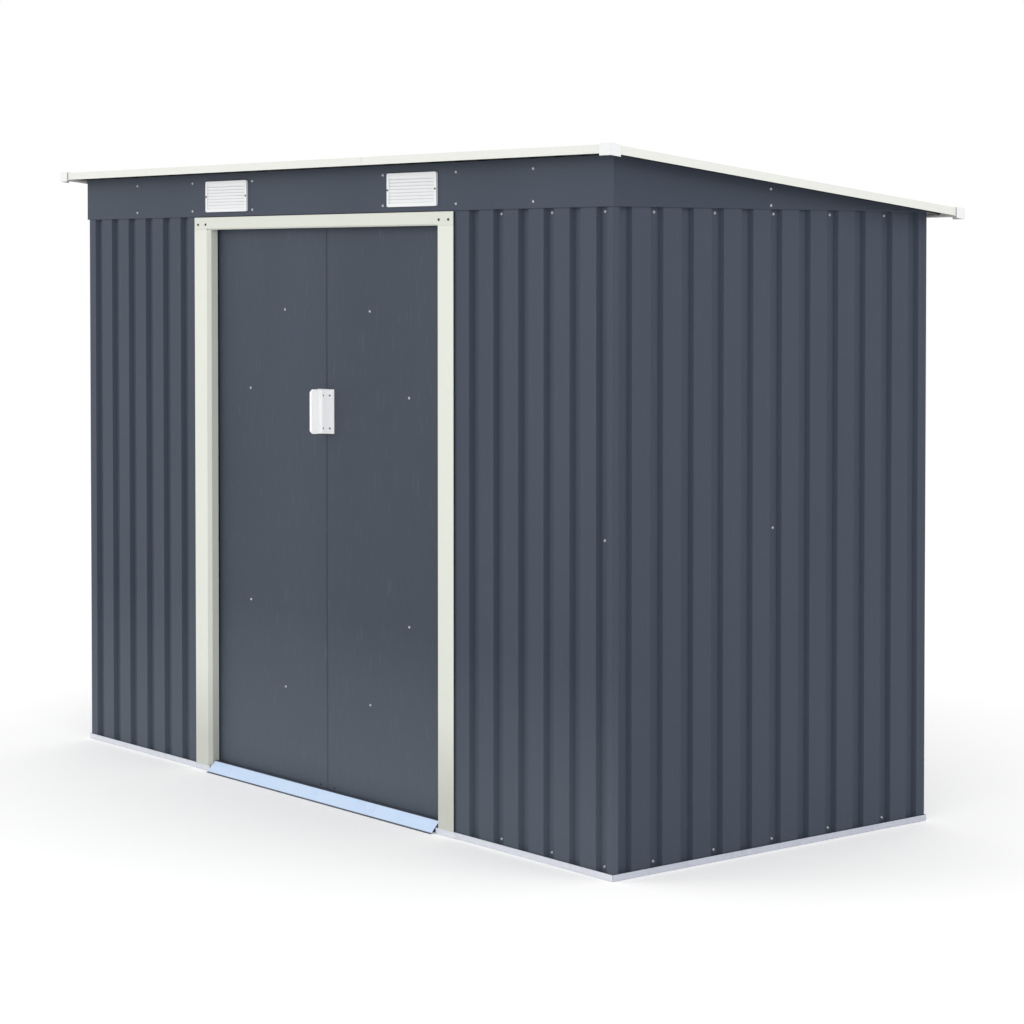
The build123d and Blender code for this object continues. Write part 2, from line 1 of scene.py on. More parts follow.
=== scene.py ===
import bpy
from math import cos, radians, sin, tan
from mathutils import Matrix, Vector


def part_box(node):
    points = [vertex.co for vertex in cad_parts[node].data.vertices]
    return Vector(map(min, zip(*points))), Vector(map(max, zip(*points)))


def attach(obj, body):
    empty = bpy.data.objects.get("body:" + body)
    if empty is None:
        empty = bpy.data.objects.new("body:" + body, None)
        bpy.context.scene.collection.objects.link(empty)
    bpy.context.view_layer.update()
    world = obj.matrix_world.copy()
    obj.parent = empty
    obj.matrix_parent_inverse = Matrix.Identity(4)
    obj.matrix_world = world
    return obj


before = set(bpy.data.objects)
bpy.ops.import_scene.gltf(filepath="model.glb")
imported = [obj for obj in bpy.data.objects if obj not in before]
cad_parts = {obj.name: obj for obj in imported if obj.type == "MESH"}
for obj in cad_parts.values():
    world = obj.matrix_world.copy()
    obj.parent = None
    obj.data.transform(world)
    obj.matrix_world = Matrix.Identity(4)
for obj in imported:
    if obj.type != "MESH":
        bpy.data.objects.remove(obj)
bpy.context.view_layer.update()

# Base rails: four roll-formed channels of galvanised steel, mitred where they meet at the corners.
# The wall sheets stand in them, so only a low lip shows, which is dressed forward round the jambs' feet.
# The zinc is dull, cool and pale, with faint crystals and long marks from the rolls.
rail_zinc = (0.58, 0.605, 0.68, 1)
rail_zinc_shade = (0.47, 0.495, 0.575, 1)


def node(tree, kind, sockets, **settings):
    """Adds a node, sets its options, and fills its sockets with values or with other nodes' outputs."""
    made = tree.nodes.new(kind)
    for key, value in settings.items():
        setattr(made, key, value)
    for key, value in sockets.items():
        if isinstance(value, bpy.types.NodeSocket):
            tree.links.new(value, made.inputs[key])
        else:
            made.inputs[key].default_value = value
    return made


def effect_group(name, inputs):
    """A shader group that puts out a colour, a roughness and a height, with its named inputs."""
    tree = bpy.data.node_groups.new(name, "ShaderNodeTree")
    for label, value in inputs.items():
        kind = "NodeSocketFloat" if isinstance(value, float) else "NodeSocketColor"
        tree.interface.new_socket(label, in_out="INPUT", socket_type=kind).default_value = value
    tree.interface.new_socket("Colour", in_out="OUTPUT", socket_type="NodeSocketColor")
    tree.interface.new_socket("Roughness", in_out="OUTPUT", socket_type="NodeSocketFloat")
    tree.interface.new_socket("Height", in_out="OUTPUT", socket_type="NodeSocketFloat")
    return tree, tree.nodes.new("NodeGroupInput").outputs


def noise(tree, stretch, scale, detail=3.0):
    """Noise over the object's own coordinates, finer along an axis with a larger stretch."""
    place = node(tree, "ShaderNodeTexCoord", {}).outputs["Object"]
    laid = node(tree, "ShaderNodeMapping", {"Vector": place, "Scale": stretch}).outputs["Vector"]
    sockets = {"Vector": laid, "Scale": scale, "Detail": detail}
    return node(tree, "ShaderNodeTexNoise", sockets).outputs["Fac"]


def spread(tree, value, low, high, to_low=0.0, to_high=1.0):
    """Stretches the range from low to high over another range, without leaving it."""
    sockets = {"Value": value, "From Min": low, "From Max": high, "To Min": to_low, "To Max": to_high}
    return node(tree, "ShaderNodeMapRange", sockets).outputs["Result"]


def blend_colours(tree, factor, first, second):
    mixer = node(tree, "ShaderNodeMix", {}, data_type="RGBA")
    for socket, value in ((mixer.inputs[0], factor), (mixer.inputs[6], first), (mixer.inputs[7], second)):
        tree.links.new(value, socket)
    return mixer.outputs[2]


zinc, given = effect_group(
    "zinc_crystals",
    {"Colour": rail_zinc, "Shade": rail_zinc_shade, "Crystal Scale": 90.0, "Roughness": 0.42},
)
place = node(zinc, "ShaderNodeTexCoord", {}).outputs["Object"]
crystals = node(zinc, "ShaderNodeTexVoronoi", {"Vector": place, "Scale": given["Crystal Scale"]})
tone = node(zinc, "ShaderNodeSeparateColor", {"Color": crystals.outputs["Color"]}).outputs["Red"]
even_stretch = (1, 1, 1)
roll_stretch = (3, 3, 60)
clouds = noise(zinc, even_stretch, 5.0)
rolled = noise(zinc, roll_stretch, 4.0)
worn = node(zinc, "ShaderNodeMath", {0: tone, 1: spread(zinc, clouds, 0.3, 0.7)}, operation="MULTIPLY")
both = node(zinc, "ShaderNodeMath", {0: worn.outputs[0], 1: spread(zinc, rolled, 0.4, 0.75, 0, 0.35)})
rough = node(zinc, "ShaderNodeMath", {0: given["Roughness"], 1: spread(zinc, clouds, 0.3, 0.7, -0.06, 0.08)})
ends = {
    "Colour": blend_colours(zinc, both.outputs[0], given["Colour"], given["Shade"]),
    "Roughness": rough.outputs[0],
    "Height": both.outputs[0],
}
node(zinc, "NodeGroupOutput", ends)


def material_of(name, group, values, relief, metallic=0.0, relief_depth=0.0001, shine=0.5):
    """A material whose colour, roughness and relief come from an effect group."""
    made = bpy.data.materials.new(name)
    made.use_nodes = True
    tree = made.node_tree
    effect = node(tree, "ShaderNodeGroup", values, node_tree=group)
    sockets = {"Strength": relief, "Distance": relief_depth, "Height": effect.outputs["Height"]}
    bump = node(tree, "ShaderNodeBump", sockets)
    surface = tree.nodes["Principled BSDF"]
    surface.inputs["Metallic"].default_value = metallic
    surface.inputs["Specular IOR Level"].default_value = shine
    tree.links.new(effect.outputs["Colour"], surface.inputs["Base Color"])
    tree.links.new(effect.outputs["Roughness"], surface.inputs["Roughness"])
    tree.links.new(bump.outputs["Normal"], surface.inputs["Normal"])
    return made


def finish_nodes(material, *names):
    """Gives the frame's own pieces their finish."""
    for name in names:
        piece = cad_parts[name]
        for slot in piece.material_slots:
            slot.material = material


crystal_relief = {"relief": 0.15, "relief_depth": 0.0002}
galvanised = material_of("galvanised_rail", zinc, {}, metallic=0.4, **crystal_relief)
finish_nodes(galvanised, "base_rail_rear", "base_rail_left", "base_rail_right")
# Painted light: the front rail and the lips round the jambs' feet get a brighter copy of the zinc.
front_zinc_painted_light = {"Colour": (0.74, 0.76, 0.82, 1), "Shade": (0.65, 0.67, 0.73, 1)}
galvanised_front = material_of("galvanised_front_rail", zinc, front_zinc_painted_light, metallic=0.3, **crystal_relief)
finish_nodes(galvanised_front, "base_rail_front")


def upright_piece(name, body, material, plan, low, high):
    """A piece with the same plan from low to high, its points given against the clock from above."""
    mesh = bpy.data.meshes.new(name)
    count = len(plan)
    points = [(x, y, z) for z in (low, high) for x, y in plan]
    sides = [(n, (n + 1) % count, (n + 1) % count + count, n + count) for n in range(count)]
    mesh.from_pydata(points, [], sides + [tuple(reversed(range(count))), tuple(range(count, 2 * count))])
    piece = bpy.data.objects.new(name, mesh)
    mesh.materials.append(material)
    bpy.context.scene.collection.objects.link(piece)
    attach(piece, body)
    return piece


jamb_low, jamb_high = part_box("door_jamb_right")
lip_top = 0.0155
lip_thickness = 0.001
lip_taper = 0.012
lip_gap = 0.0001
lip_end_gap = 0.0003
lip_back = jamb_low.y - lip_gap
lip_front = lip_back - lip_thickness
lip_plan = [
    (jamb_low.x, lip_front),
    (jamb_high.x, lip_front),
    (jamb_high.x + lip_taper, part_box("base_rail_front")[0].y - lip_end_gap),
    (jamb_high.x, lip_back),
    (jamb_low.x, lip_back),
]
upright_piece("rail_lip_right", "shed", galvanised_front, lip_plan, 0.0, lip_top)
mirrored_plan = [(-x, y) for x, y in reversed(lip_plan)]
upright_piece("rail_lip_left", "shed", galvanised_front, mirrored_plan, 0.0, lip_top)

# Threshold ramp: one sheet of pre-coated steel folded over the front rail, open at both ends.
# Its smooth coating is a light sky blue with a slight lavender cast.
# Painted shade darkens a thin line along its crest, under the doors' foot, and along its lower lip.
ramp_blue = (0.58, 0.73, 0.92, 1)
ramp_lavender = (0.55, 0.67, 0.88, 1)
crest_painted_shade_from, crest_painted_shade_full = 0.0285, 0.0295
lip_painted_shade_full, lip_painted_shade_to = 0.0016, 0.0028
ramp_coat = {"Colour": ramp_blue, "Shade": ramp_lavender, "Crystal Scale": 14.0, "Roughness": 0.38}
ramp_finish = material_of("threshold_coating", zinc, ramp_coat, relief=0.05, metallic=0.35)
ramp_tree = ramp_finish.node_tree
ramp_surface = ramp_tree.nodes["Principled BSDF"]
ramp_top = ramp_surface.inputs["Base Color"].links[0].from_socket
# Painted shade: a dark colour along the crest and along the lower lip.
painted_shade = node(ramp_tree, "ShaderNodeRGB", {}).outputs[0]
painted_shade.default_value = (0.06, 0.07, 0.09, 1)
place = node(ramp_tree, "ShaderNodeTexCoord", {}).outputs["Object"]
level = node(ramp_tree, "ShaderNodeSeparateXYZ", {0: place}).outputs["Z"]
crest = spread(ramp_tree, level, crest_painted_shade_from, crest_painted_shade_full)
lower_lip = spread(ramp_tree, level, lip_painted_shade_to, lip_painted_shade_full)
edges = node(ramp_tree, "ShaderNodeMath", {0: crest, 1: lower_lip}, operation="MAXIMUM").outputs[0]
ramp_tree.links.new(blend_colours(ramp_tree, edges, ramp_top, painted_shade), ramp_surface.inputs["Base Color"])
finish_nodes(ramp_finish, "threshold_ramp")

# Inner frame: corner posts, top rails, beams, mid braces and door tracks, all folded from zinc-coated strip.
# It shows only past open doors and from below, and is duller and darker than the rails outside.
frame_zinc = {"Colour": (0.48, 0.5, 0.54, 1), "Shade": (0.36, 0.38, 0.42, 1), "Roughness": 0.5}
frame_finish = material_of(
    "galvanised_frame", zinc, frame_zinc, relief=0.2, metallic=0.7, relief_depth=0.0002
)
inner_frame = ["corner_posts", "top_rail_left", "top_rail_right", "top_rail_rear", "mid_braces"]
inner_frame += ["front_beam", "roof_beam", "door_track_top", "door_track_bottom"]
finish_nodes(frame_finish, *inner_frame)

# Wall sheets: thin steel, rolled to grooves and factory painted blue-grey on both faces.
# The satin paint has sparse upright flecks, a slight cloudiness, and in front painted light near the ground.
wall_grey = (0.056, 0.0695, 0.096, 1)
wall_grey_shade = (0.049, 0.061, 0.084, 1)

paint, given = effect_group(
    "paint_on_sheet",
    {
        "Colour": wall_grey,
        "Shade": wall_grey_shade,
        "Fleck And Foot Shading": (0.31, 0.37, 0.43, 1),
        "Cloud Amount": 0.6,
        "Fleck Amount": 0.02,
        "Foot Shading Amount": 0.01,
        "Foot Shading Height": 0.5,
        "Roughness": 0.42,
    },
)


def multiplied(tree, first, second):
    return node(tree, "ShaderNodeMath", {0: first, 1: second}, operation="MULTIPLY").outputs[0]


cloud_stretch = (1, 1, 0.35)
fleck_stretch = (130, 130, 14)
foot_shading_line = 0.1
clouds = spread(paint, noise(paint, cloud_stretch, 2.2), 0.35, 0.65)
flecks = spread(paint, noise(paint, fleck_stretch, 1.0, 2.0), 0.6, 0.72)
coat = blend_colours(paint, multiplied(paint, clouds, given["Cloud Amount"]), given["Colour"], given["Shade"])
place = node(paint, "ShaderNodeTexCoord", {}).outputs["Object"]
level = node(paint, "ShaderNodeSeparateXYZ", {0: place}).outputs["Z"]
# Painted light and shade near the ground: from a set height down, the colour is blended towards a second one.
foot_shading_mask = spread(paint, level, given["Foot Shading Height"], foot_shading_line)
patchy = spread(paint, clouds, 0.0, 1.0, 0.8, 1.0)
foot_shading = multiplied(paint, multiplied(paint, foot_shading_mask, patchy), given["Foot Shading Amount"])
flecked = multiplied(paint, flecks, given["Fleck Amount"])
pale = node(paint, "ShaderNodeMath", {0: foot_shading, 1: flecked}).outputs[0]
uneven = spread(paint, clouds, 0.0, 1.0, -0.03, 0.04)
rough = node(paint, "ShaderNodeMath", {0: given["Roughness"], 1: uneven})
ends = {
    "Colour": blend_colours(paint, pale, coat, given["Fleck And Foot Shading"]),
    "Roughness": rough.outputs[0],
    "Height": flecks,
}
node(paint, "NodeGroupOutput", ends)
satin_shine = 0.12
grey_paint = material_of("grey_wall_paint", paint, {}, relief=0.12, shine=satin_shine)
finish_nodes(grey_paint, *[f"{wall}_wall_{side}" for wall in ("side", "rear") for side in ("left", "right")])
# Painted light: the front walls are painted lighter near the ground.
front_paint = material_of("grey_front_paint", paint, {"Foot Shading Amount": 0.1}, relief=0.12, shine=satin_shine)
finish_nodes(front_paint, "front_wall_left", "front_wall_right")

# Wall screws: pan heads with a cross recess and a pressed-on collar, in a row at the foot and one at the top.
# They go through every second groove into the rails, and a few go into the braces half way up.
# On the left front sheet they stand a little to the right of the grooves' middle.
screw_head = 0.0064
screw_height = 0.0032
screw_collar = 0.0072
foot_row, brace_row, top_row = 0.026, 0.804, 1.584
screwed_grooves = {"front": (0, 2, 4), "side": (1, 3, 5, 7, 9), "rear": (1, 3, 5, 7, 9, 11)}
braced_grooves = {"front": (0,), "side": (5,), "rear": (5, 11)}
groove_depth = 0.012
long_wall_pitch = 0.0975
side_pitch = 0.0997
first_from_end = {"right": 0.046, "left": 0.060}
off_middle = {"right": 0.0, "left": 0.008}
first_on_side = 0.0425
screw_zinc = {
    "Colour": (0.66, 0.68, 0.71, 1),
    "Shade": (0.5, 0.52, 0.55, 1),
    "Crystal Scale": 400.0,
    "Roughness": 0.4,
}
screw_finish = material_of("zinc_plated_screws", zinc, screw_zinc, relief=0.1, metallic=0.4)


def screw_nodes():
    """The tree that sets one screw head on each point, along the point's own direction."""
    tree = bpy.data.node_groups.new("screw_heads", "GeometryNodeTree")
    tree.interface.new_socket("Geometry", in_out="INPUT", socket_type="NodeSocketGeometry")
    for label in ("Head Diameter", "Head Height", "Collar Diameter", "Collar Height"):
        tree.interface.new_socket(label, in_out="INPUT", socket_type="NodeSocketFloat")
    tree.interface.new_socket("Material", in_out="INPUT", socket_type="NodeSocketMaterial")
    tree.interface.new_socket("Geometry", in_out="OUTPUT", socket_type="NodeSocketGeometry")
    given = tree.nodes.new("NodeGroupInput").outputs
    corners_round, dome_rings = 18, 4
    dome_fall = 0.7
    recess_length, recess_width = 0.5, 0.13

    def maths(operation, first, second):
        sockets = {0: first, 1: second}
        return node(tree, "ShaderNodeMath", sockets, operation=operation).outputs[0]

    def raised(mesh, height):
        offset = node(tree, "ShaderNodeCombineXYZ", {"Z": height}).outputs[0]
        return node(tree, "GeometryNodeTransform", {"Geometry": mesh, "Translation": offset}).outputs[0]

    def disc(diameter, height, rings):
        radius = maths("MULTIPLY", diameter, 0.5)
        sockets = {"Vertices": corners_round, "Side Segments": rings, "Radius": radius, "Depth": height}
        mesh = node(tree, "GeometryNodeMeshCylinder", sockets).outputs["Mesh"]
        return raised(mesh, maths("MULTIPLY", height, 0.5))

    height = given["Head Height"]
    head = disc(given["Head Diameter"], height, dome_rings)
    place = node(tree, "GeometryNodeInputPosition", {}).outputs[0]
    level = node(tree, "ShaderNodeSeparateXYZ", {0: place}).outputs["Z"]
    share = maths("DIVIDE", level, height)
    fallen = maths("MULTIPLY", maths("MULTIPLY", share, share), dome_fall)
    narrow = maths("SQRT", maths("SUBTRACT", 1.0, fallen), 0.0)
    scale = node(tree, "ShaderNodeCombineXYZ", {"X": narrow, "Y": narrow, "Z": 1.0}).outputs[0]
    domed = node(tree, "ShaderNodeVectorMath", {0: place, 1: scale}, operation="MULTIPLY").outputs[0]
    head = node(tree, "GeometryNodeSetPosition", {"Geometry": head, "Position": domed}).outputs[0]
    long_side = maths("MULTIPLY", given["Head Diameter"], recess_length)
    short_side = maths("MULTIPLY", given["Head Diameter"], recess_width)
    recess = []
    for x, y in ((long_side, short_side), (short_side, long_side)):
        size = node(tree, "ShaderNodeCombineXYZ", {"X": x, "Y": y, "Z": height}).outputs[0]
        bar = node(tree, "GeometryNodeMeshCube", {"Size": size}).outputs["Mesh"]
        recess.append(raised(bar, height))
    cut = node(tree, "GeometryNodeMeshBoolean", {"Mesh 1": head}, operation="DIFFERENCE")
    for bar in recess:
        tree.links.new(bar, cut.inputs["Mesh 2"])
    collar = disc(given["Collar Diameter"], given["Collar Height"], 1)
    screw = node(tree, "GeometryNodeJoinGeometry", {})
    tree.links.new(cut.outputs["Mesh"], screw.inputs[0])
    tree.links.new(collar, screw.inputs[0])
    facing = node(tree, "GeometryNodeInputNamedAttribute", {"Name": "facing"}, data_type="FLOAT_VECTOR")
    sockets = {"Vector": facing.outputs[0]}
    stood = node(tree, "FunctionNodeAlignRotationToVector", sockets, axis="Z").outputs[0]
    turn = node(tree, "FunctionNodeRandomValue", {"Seed": 7}, data_type="FLOAT")
    turn.inputs[3].default_value = radians(90)
    twist = node(tree, "ShaderNodeCombineXYZ", {"Z": turn.outputs[1]}).outputs[0]
    twist = node(tree, "FunctionNodeEulerToRotation", {0: twist}).outputs[0]
    turned = node(tree, "FunctionNodeRotateRotation", {0: stood, 1: twist}, rotation_space="LOCAL").outputs[0]
    sockets = {"Points": given["Geometry"], "Instance": screw.outputs[0], "Rotation": turned}
    placed = node(tree, "GeometryNodeInstanceOnPoints", sockets).outputs[0]
    real = node(tree, "GeometryNodeRealizeInstances", {"Geometry": placed}).outputs[0]
    sockets = {"Geometry": real, "Material": given["Material"]}
    finished = node(tree, "GeometryNodeSetMaterial", sockets).outputs[0]
    node(tree, "NodeGroupOutput", {"Geometry": finished})
    return tree


screw_tree = screw_nodes()
collar_share = 0.08


def screws(name, body, places, head, collar, material):
    """Screw heads at the places, each a point and the direction that it faces, as one plain mesh."""
    points = bpy.data.meshes.new(name + "_places")
    points.from_pydata([point for point, facing in places], [], [])
    directions = points.attributes.new("facing", "FLOAT_VECTOR", "POINT")
    for entry, (point, facing) in zip(directions.data, places):
        entry.vector = facing
    holder = bpy.data.objects.new(name + "_places", points)
    bpy.context.scene.collection.objects.link(holder)
    modifier = holder.modifiers.new("screws", "NODES")
    modifier.node_group = screw_tree
    values = {
        "Head Diameter": head,
        "Head Height": head * screw_height / screw_head,
        "Collar Diameter": collar,
        "Collar Height": head * collar_share,
        "Material": material,
    }
    for item in screw_tree.interface.items_tree:
        if item.in_out == "INPUT" and item.name in values:
            modifier[item.identifier] = values[item.name]
    bpy.context.view_layer.update()
    seen = holder.evaluated_get(bpy.context.evaluated_depsgraph_get())
    mesh = bpy.data.meshes.new_from_object(seen)
    bpy.data.objects.remove(holder)
    piece = bpy.data.objects.new(name, mesh)
    bpy.context.scene.collection.objects.link(piece)
    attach(piece, body)
    return piece


to_front, to_back, to_left, to_right = ((0, -1, 0), (0, 1, 0), (-1, 0, 0), (1, 0, 0))
rail_low, rail_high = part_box("base_rail_front")
half_width = rail_high.x
front_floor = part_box("front_wall_right")[0].y + groove_depth
rear_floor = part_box("rear_wall_right")[1].y - groove_depth
side_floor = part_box("side_wall_right")[1].x - groove_depth
front_places, side_places, rear_places = [], [], []
for z in (foot_row, brace_row, top_row):
    grooves = braced_grooves if z == brace_row else screwed_grooves
    for side, sign in (("right", 1), ("left", -1)):
        for n in grooves["front"]:
            x = sign * (half_width - first_from_end[side] - long_wall_pitch * n) + off_middle[side]
            front_places.append(((x, front_floor, z), to_front))
        for n in grooves["side"]:
            y = rail_low.y + first_on_side + side_pitch * n
            side_places.append(((sign * side_floor, y, z), to_right if sign > 0 else to_left))
        for n in grooves["rear"]:
            rear_places.append(((sign * long_wall_pitch * (n + 0.5), rear_floor, z), to_back))
screws("front_wall_screws", "shed", front_places, screw_head, screw_collar, screw_finish)
screws("side_wall_screws", "shed", side_places, screw_head, screw_collar, screw_finish)
screws("rear_wall_screws", "shed", rear_places, screw_head, screw_collar, screw_finish)

# Fascias: smooth painted sheet along the front and the tapering sides, hemmed along the lower edge.
# Pairs of screws hold the front one to the hanging track and the beam behind it, and one pair holds each
# side one by the end of the roof beam. The side ones are painted darker, as painted shade from the overhang.
fascia_paint = {"Cloud Amount": 0.6, "Fleck Amount": 0.0}
fascia_finish = material_of("grey_fascia_paint", paint, fascia_paint, relief=0.08, shine=satin_shine)
finish_nodes(fascia_finish, "fascia_front")
# Painted shade: the side fascias get a darker copy of the grey.
side_fascia_painted_shade = dict(fascia_paint, Colour=(0.05, 0.062, 0.086, 1), Shade=(0.044, 0.055, 0.076, 1))
side_fascia_finish = material_of(
    "grey_side_fascia_paint", paint, side_fascia_painted_shade, relief=0.08, shine=satin_shine
)
finish_nodes(side_fascia_finish, "fascia_left", "fascia_right")
fascia_screws_x = (0.308, 0.619, 0.925)
fascia_screws_z = (1.612, 1.692)
side_fascia_screw_y = 0.517
side_fascia_screws_z = (1.6046, 1.6455)
fascia_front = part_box("fascia_front")[0].y
fascia_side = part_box("fascia_right")[1].x
fascia_places = []
for sign, facing in ((1, to_right), (-1, to_left)):
    for z in fascia_screws_z:
        fascia_places += [((sign * x, fascia_front, z), to_front) for x in fascia_screws_x]
    for z in side_fascia_screws_z:
        fascia_places.append(((sign * fascia_side, rail_low.y + side_fascia_screw_y, z), facing))
screws("fascia_screws", "shed", fascia_places, screw_head, screw_collar, screw_finish)

# Door frame: two jambs and a header, folded from thicker sheet and painted a greenish cream.
# The paint is glossier than the walls', and the header is painted darker, as painted shade under the roof.
# Small dark screws hold the header at each end.
# Painted shade: the jambs are painted darker towards the ground, at their feet.
frame_cream = {
    "Fleck And Foot Shading": (0.3, 0.3, 0.27, 1),
    "Colour": (0.735, 0.755, 0.68, 1),
    "Shade": (0.71, 0.73, 0.65, 1),
    "Cloud Amount": 0.6,
    "Fleck Amount": 0.0,
    "Foot Shading Amount": 0.35,
    "Foot Shading Height": 0.3,
    "Roughness": 0.36,
}
cream_gloss = {"relief": 0.06, "shine": 0.35}
cream_paint = material_of("cream_frame_paint", paint, frame_cream, **cream_gloss)
finish_nodes(cream_paint, "door_jamb_left", "door_jamb_right")
# Painted shade: the header gets a darker copy of the cream.
shaded_header_cream = dict(frame_cream, Colour=(0.675, 0.695, 0.625, 1), Shade=(0.65, 0.67, 0.595, 1))
finish_nodes(material_of("cream_header_paint", paint, shaded_header_cream, **cream_gloss), "door_header")
dark_screw = {
    "Colour": (0.08, 0.085, 0.08, 1),
    "Shade": (0.05, 0.05, 0.05, 1),
    "Crystal Scale": 300.0,
    "Roughness": 0.45,
}
dark_finish = material_of("blackened_screws", zinc, dark_screw, relief=0.1, metallic=0.5)
header_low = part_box("door_header")[0]
header_screws_x = (0.549, 0.5885)
header_screw_z = 1.5726
header_screw_head, header_screw_collar = 0.0065, 0.007
header_places = [
    ((sign * x, header_low.y, header_screw_z), to_front) for x in header_screws_x for sign in (1, -1)
]
screws("header_screws", "shed", header_places, header_screw_head, header_screw_collar, dark_finish)

# Vents: moulded louvre grilles in white plastic, snapped over windows in the fascia.
# A small screw in the middle of each short side holds them.
plastic = {
    "Colour": (0.82, 0.83, 0.84, 1),
    "Shade": (0.79, 0.8, 0.81, 1),
    "Cloud Amount": 0.5,
    "Fleck Amount": 0.0,
    "Foot Shading Amount": 0.0,
    "Roughness": 0.4,
}
moulded_skin = {"relief": 0.03, "relief_depth": 0.00005}
white_plastic = material_of("white_moulded_plastic", paint, plastic, **moulded_skin)
finish_nodes(white_plastic, "vent_left", "vent_right")
vent_border_middle = 0.0045
vent_screw_head, vent_screw_collar = 0.005, 0.0052
vent_places = []
for side in ("left", "right"):
    low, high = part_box(f"vent_{side}")
    for x in (low.x + vent_border_middle, high.x - vent_border_middle):
        vent_places.append(((x, low.y, (low.z + high.z) / 2), to_front))
screws("vent_screws", "shed", vent_places, vent_screw_head, vent_screw_collar, dark_finish)

# Roof: four ribbed sheets painted like the walls, laid front to back and screwed through every second rib.
# The screws sit over the front beam, the roof beam and the rear top rail.
# Their underside is painted dark brown, as painted shade under the roof.
underside_shade_brown = (0.03, 0.027, 0.025, 1)
turning_under, turning_over = -0.1, 0.1
roof_finish = material_of("grey_roof_paint", paint, {"Cloud Amount": 0.7}, relief=0.12, shine=satin_shine)
roof_tree = roof_finish.node_tree
roof_surface = roof_tree.nodes["Principled BSDF"]
top_coat = roof_surface.inputs["Base Color"].links[0].from_socket
underside_shade = node(roof_tree, "ShaderNodeRGB", {}).outputs[0]
underside_shade.default_value = underside_shade_brown
# Painted shade: faces turned downwards take the dark brown.
facing = node(roof_tree, "ShaderNodeNewGeometry", {}).outputs["True Normal"]
upward = node(roof_tree, "ShaderNodeSeparateXYZ", {0: facing}).outputs["Z"]
over = spread(roof_tree, upward, turning_under, turning_over)
mixed = blend_colours(roof_tree, over, underside_shade, top_coat)
roof_tree.links.new(mixed, roof_surface.inputs["Base Color"])
roof_sheets = [f"roof_sheet_{place}_{side}" for place in ("inner", "outer") for side in ("left", "right")]
finish_nodes(roof_finish, *roof_sheets)
roof_fall = radians(6.3)
rib_pitch = 0.0975
screwed_ribs = (0, 2, 4, 6, 8, 10, 12)
roof_screw_collar = 0.015
sheet_low, sheet_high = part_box("roof_sheet_inner_right")
roof_up = (0, sin(roof_fall), cos(roof_fall))
roof_places = []
for carrier in ("front_beam", "roof_beam", "top_rail_rear"):
    low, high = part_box(carrier)
    y = (low.y + high.y) / 2
    z = sheet_high.z - tan(roof_fall) * (y - sheet_low.y)
    for n in screwed_ribs:
        roof_places += [((sign * rib_pitch * (n + 0.5), y, z), roof_up) for sign in (1, -1)]
screws("roof_screws", "shed", roof_places, screw_head, roof_screw_collar, screw_finish)

# Roof trims: folded cream sheet over the edges of the roof, in two lengths along the front and the back.
# Its lower edge flares outwards and catches the light.
trim_cream = dict(frame_cream, Colour=(0.75, 0.76, 0.715, 1), Shade=(0.72, 0.73, 0.68, 1))
trim_paint = material_of("cream_trim_paint", paint, trim_cream, **cream_gloss)
finish_nodes(trim_paint, "roof_trim_front", "roof_trim_rear", "roof_trim_left", "roof_trim_right")

# Corner caps: white plastic mouldings pushed over the trims' mitres.
# They are the smoothest and whitest pieces on the roof.
cap_plastic = dict(plastic, Colour=(0.79, 0.795, 0.8, 1), Shade=(0.77, 0.775, 0.78, 1))
finish_nodes(material_of("white_cap_plastic", paint, cap_plastic, **moulded_skin), "roof_corner_caps")

# Doors: flat sheet pans in the walls' colour, stiffened by two upright channels that show only as screws.
# Their paint is a little less blue and shows more upright flecks, and is painted lighter near the ground.
# A small dark screw shows at the foot of each door, by the meeting edge.
door_grey = {
    "Colour": (0.054, 0.0665, 0.091, 1),
    "Shade": (0.046, 0.0565, 0.077, 1),
    "Cloud Amount": 0.6,
    "Fleck Amount": 0.05,
    "Foot Shading Amount": 0.14,
}
door_paint = material_of("grey_door_paint", paint, door_grey, relief=0.15, shine=satin_shine)
door_screws = ((0.200, 0.283), (0.200, 1.334), (0.373, 0.510), (0.373, 1.110))
foot_screw_x, foot_screw_z = 0.0315, 0.0355
foot_screw_head, foot_screw_collar = 0.005, 0.0055
door_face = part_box("door_right")[0].y
for side, sign in (("left", -1), ("right", 1)):
    body = f"{side}_door"
    finish_nodes(door_paint, f"door_{side}")
    finish_nodes(frame_finish, f"door_stiffeners_{side}")
    places = [((sign * x, door_face, z), to_front) for x, z in door_screws]
    screws(f"door_screws_{side}", body, places, screw_head, screw_collar, screw_finish)
    foot = [((sign * foot_screw_x, door_face, foot_screw_z), to_front)]
    screws(f"door_foot_screw_{side}", body, foot, foot_screw_head, foot_screw_collar, dark_finish)

# Door meeting strip: a narrow upright strip of the doors' painted steel, fixed behind the left door's edge.
# It stands for the overlap that keeps the light out where the doors meet, so only a faint seam shows.
strip_left, strip_right = -0.0012, 0.0004
strip_sunk, strip_flare, strip_neck, strip_depth = 0.0013, 0.0012, 0.0034, 0.0088
strip_plan = [
    (-strip_flare, door_face + strip_sunk),
    (strip_flare, door_face + strip_sunk),
    (strip_right, door_face + strip_neck),
    (strip_right, door_face + strip_depth),
    (strip_left, door_face + strip_depth),
    (strip_left, door_face + strip_neck),
]
strip_foot, strip_top = (corner.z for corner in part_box("door_left"))
upright_piece("door_meeting_strip", "left_door", door_paint, strip_plan, strip_foot, strip_top)

# Door runners: nylon blocks that hook over the hanging track and run in the floor track.
# The nylon is a plain off-white and dull.
nylon = dict(plastic, Colour=(0.6, 0.59, 0.55, 1), Shade=(0.54, 0.53, 0.49, 1), Roughness=0.55)
nylon_finish = material_of("runner_nylon", paint, nylon, relief=0.05)
finish_nodes(nylon_finish, "door_sliders_left", "door_sliders_right")
